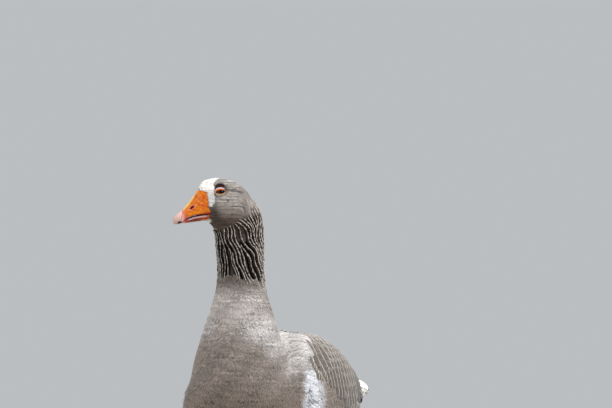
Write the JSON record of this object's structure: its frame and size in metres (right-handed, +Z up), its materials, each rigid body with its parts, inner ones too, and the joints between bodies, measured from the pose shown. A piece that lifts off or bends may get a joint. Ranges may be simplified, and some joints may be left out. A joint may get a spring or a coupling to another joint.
{
  "type": "domestic goose figure",
  "caption": "Life-size still figure of a grey domestic goose standing on webbed feet, head turned to its right, wings folded.",
  "frame": {"origin": "on the floor, under the centre of the bird's box", "axes": "+Z up; the bird's body faces -Y and its left side is +X; the head is turned to its right"},
  "size_m": [0.2436, 0.5502, 0.6395],
  "materials": {
    "plumage": "matte grey-brown contour feathers, paler at their edges",
    "neck_plumage": "furrowed neck feathers, dark grooves and pale crests",
    "wing_plumage": "grey-brown wing feathers with pale edges",
    "flight_feathers": "dark slate flight feathers with white shafts",
    "tail_feathers": "white tail coverts and grey-brown tail feathers edged white",
    "bill_horn": "satin orange horn with fine wrinkles",
    "nail_horn": "smooth pinkish white horn",
    "eye": "wet, brown iris round a dark pupil",
    "leg_skin": "orange scaled skin",
    "claw_horn": "dark smooth horn"
  },
  "bodies": {
    "root": {"trunk": "plumage", "head": "plumage", "neck_upper": "neck_plumage", "neck_lower": "neck_plumage", "tail": "tail_feathers", "wing_coverts_left": "wing_plumage", "wing_coverts_right": "wing_plumage", "wing_tertials_left": "wing_plumage", "wing_tertials_right": "wing_plumage", "wing_primaries_left": "flight_feathers", "wing_primaries_right": "flight_feathers", "thigh_left": "plumage", "thigh_right": "plumage", "shank_left": "leg_skin", "shank_right": "leg_skin", "foot_left": "leg_skin", "foot_right": "leg_skin", "bill_upper": "bill_horn", "bill_lower": "bill_horn", "bill_nail": "nail_horn", "eye_left": "eye", "eye_right": "eye", "claw_inner_left": "claw_horn", "claw_middle_left": "claw_horn", "claw_outer_left": "claw_horn", "claw_hind_left": "claw_horn", "claw_inner_right": "claw_horn", "claw_middle_right": "claw_horn", "claw_outer_right": "claw_horn", "claw_hind_right": "claw_horn"}
  },
  "joints": []
}
